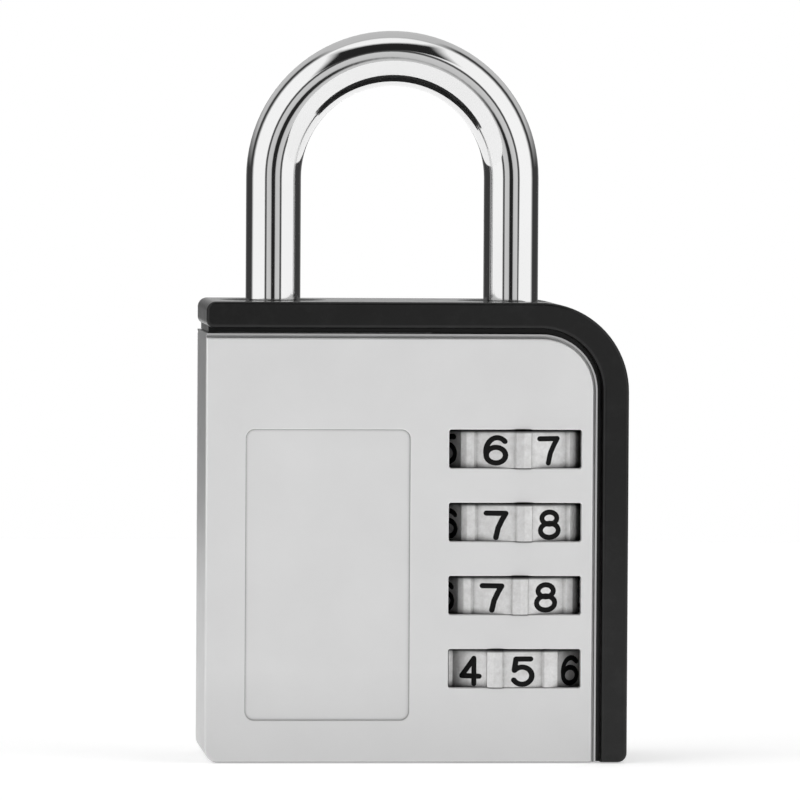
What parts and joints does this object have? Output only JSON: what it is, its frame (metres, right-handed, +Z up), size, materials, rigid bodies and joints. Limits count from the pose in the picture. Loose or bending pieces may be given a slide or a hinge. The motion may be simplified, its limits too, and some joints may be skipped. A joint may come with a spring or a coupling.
{
  "type": "combination padlock",
  "caption": "Dial combination padlock: satin metal case with number wheels in side windows, black bumper over the top and one side, round chrome shackle.",
  "frame": {"origin": "middle of the lock's flat base", "axes": "+Z up along the shackle legs, +X to the right towards the bumper side, -Y out of the front face"},
  "size_m": [0.046, 0.0204, 0.0794],
  "materials": {
    "case_metal": "die-cast metal, satin silver",
    "plate_metal": "fine satin silver",
    "bumper_plastic": "black moulded plastic, low sheen",
    "shackle_chrome": "polished chrome plating",
    "inner_steel": "turned steel",
    "spring_steel": "drawn spring steel",
    "plug_brass": "turned brass",
    "ring_brass": "turned brass",
    "dial_metal": "cast metal, satin, with black-filled numerals"
  },
  "bodies": {
    "case": {"body_casting": "case_metal", "front_plate": "plate_metal", "rear_plate": "plate_metal", "bumper": "bumper_plastic", "plate_dowels": "inner_steel", "bottom_plug": "plug_brass", "thrust_washer": "inner_steel", "reset_spring": "spring_steel", "return_spring": "spring_steel", "detent_leaf": "spring_steel"},
    "shackle_bar": {"shackle": "shackle_chrome", "locking_spindle": "inner_steel", "spindle_pin": "inner_steel"},
    "dial_1": {"number_wheel_1": "dial_metal", "cam_ring_1": "ring_brass"},
    "dial_2": {"number_wheel_2": "dial_metal", "cam_ring_2": "ring_brass"},
    "dial_3": {"number_wheel_3": "dial_metal", "cam_ring_3": "ring_brass"},
    "dial_4": {"number_wheel_4": "dial_metal", "cam_ring_4": "ring_brass"}
  },
  "joints": [
    {"name": "shackle_lift", "type": "slide", "parent": "case", "child": "shackle_bar", "axis": [0, 0, 1], "range_m": [0, 0.00795], "deforming": ["return_spring"]},
    {"name": "dial_1_spin", "type": "hinge", "parent": "case", "child": "dial_1", "pos_m": [0.01083, 0, 0.01019], "axis": [0, 0, 1], "continuous": true},
    {"name": "dial_2_spin", "type": "hinge", "parent": "case", "child": "dial_2", "pos_m": [0.01083, 0, 0.01814], "axis": [0, 0, 1], "continuous": true},
    {"name": "dial_3_spin", "type": "hinge", "parent": "case", "child": "dial_3", "pos_m": [0.01083, 0, 0.02609], "axis": [0, 0, 1], "continuous": true},
    {"name": "dial_4_spin", "type": "hinge", "parent": "case", "child": "dial_4", "pos_m": [0.01083, 0, 0.03404], "axis": [0, 0, 1], "continuous": true}
  ]
}
